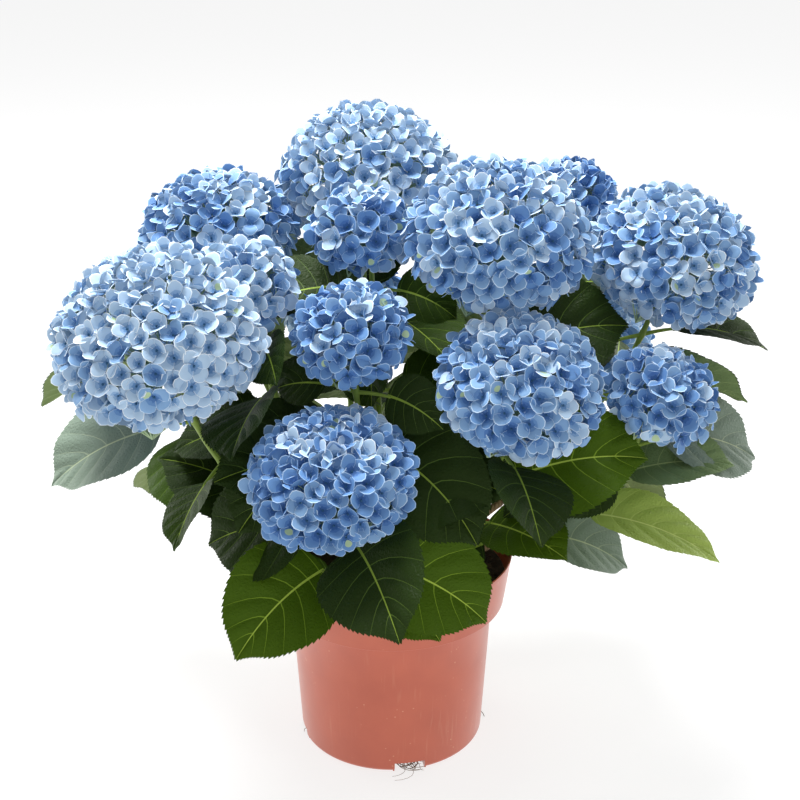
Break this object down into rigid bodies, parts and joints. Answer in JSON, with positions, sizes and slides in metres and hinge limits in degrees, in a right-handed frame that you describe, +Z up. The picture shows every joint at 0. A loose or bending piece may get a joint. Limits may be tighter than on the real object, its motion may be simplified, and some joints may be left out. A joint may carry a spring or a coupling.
{
  "type": "potted hydrangea shrub",
  "caption": "Bushy mophead hydrangea with rounded blue flower heads over broad toothed leaves, rooted in a terracotta-coloured plastic nursery pot.",
  "frame": {"origin": "middle of the pot's flat underside, on the floor", "axes": "+Z up, the front of the plant faces -Y, +X is to the right seen from the front"},
  "size_m": [0.791, 0.6402, 0.6741],
  "materials": {
    "pot": "satin terracotta-coloured plastic with fine pale specks",
    "soil": "dark moist peat potting mix, rough",
    "bark": "thin flaking brown bark",
    "leaves": "dark green, softly glossy on top, with pale yellow-green veins",
    "petals": "matt sky-blue sepals with pale rims and deeper blue centres"
  },
  "bodies": {
    "root": {"pot": "pot", "potting_soil": "soil", "root_crown": "bark", "cane_front": "bark", "foliage_front": "leaves", "bloom_front": "petals", "cane_middle": "bark", "foliage_middle": "leaves", "bloom_middle": "petals", "cane_front_right": "bark", "foliage_front_right": "leaves", "bloom_front_right": "petals", "cane_big_left": "bark", "foliage_big_left": "leaves", "bloom_big_left": "petals", "cane_high_right": "bark", "foliage_high_right": "leaves", "bloom_high_right": "petals", "cane_left": "bark", "foliage_left": "leaves", "bloom_left": "petals", "cane_low_right": "bark", "foliage_low_right": "leaves", "bloom_low_right": "petals", "cane_right": "bark", "foliage_right": "leaves", "bloom_right": "petals", "cane_middle_high": "bark", "foliage_middle_high": "leaves", "bloom_middle_high": "petals", "cane_back_left": "bark", "foliage_back_left": "leaves", "bloom_back_left": "petals", "cane_back_right": "bark", "foliage_back_right": "leaves", "bloom_back_right": "petals", "cane_top": "bark", "foliage_top": "leaves", "bloom_top": "petals", "cane_rear_left": "bark", "foliage_rear_left": "leaves", "bloom_rear_left": "petals", "cane_rear_right": "bark", "foliage_rear_right": "leaves", "bloom_rear_right": "petals", "cane_behind": "bark", "foliage_behind": "leaves", "bloom_behind": "petals", "cane_behind_right": "bark", "foliage_behind_right": "leaves", "bloom_behind_right": "petals"}
  },
  "joints": []
}
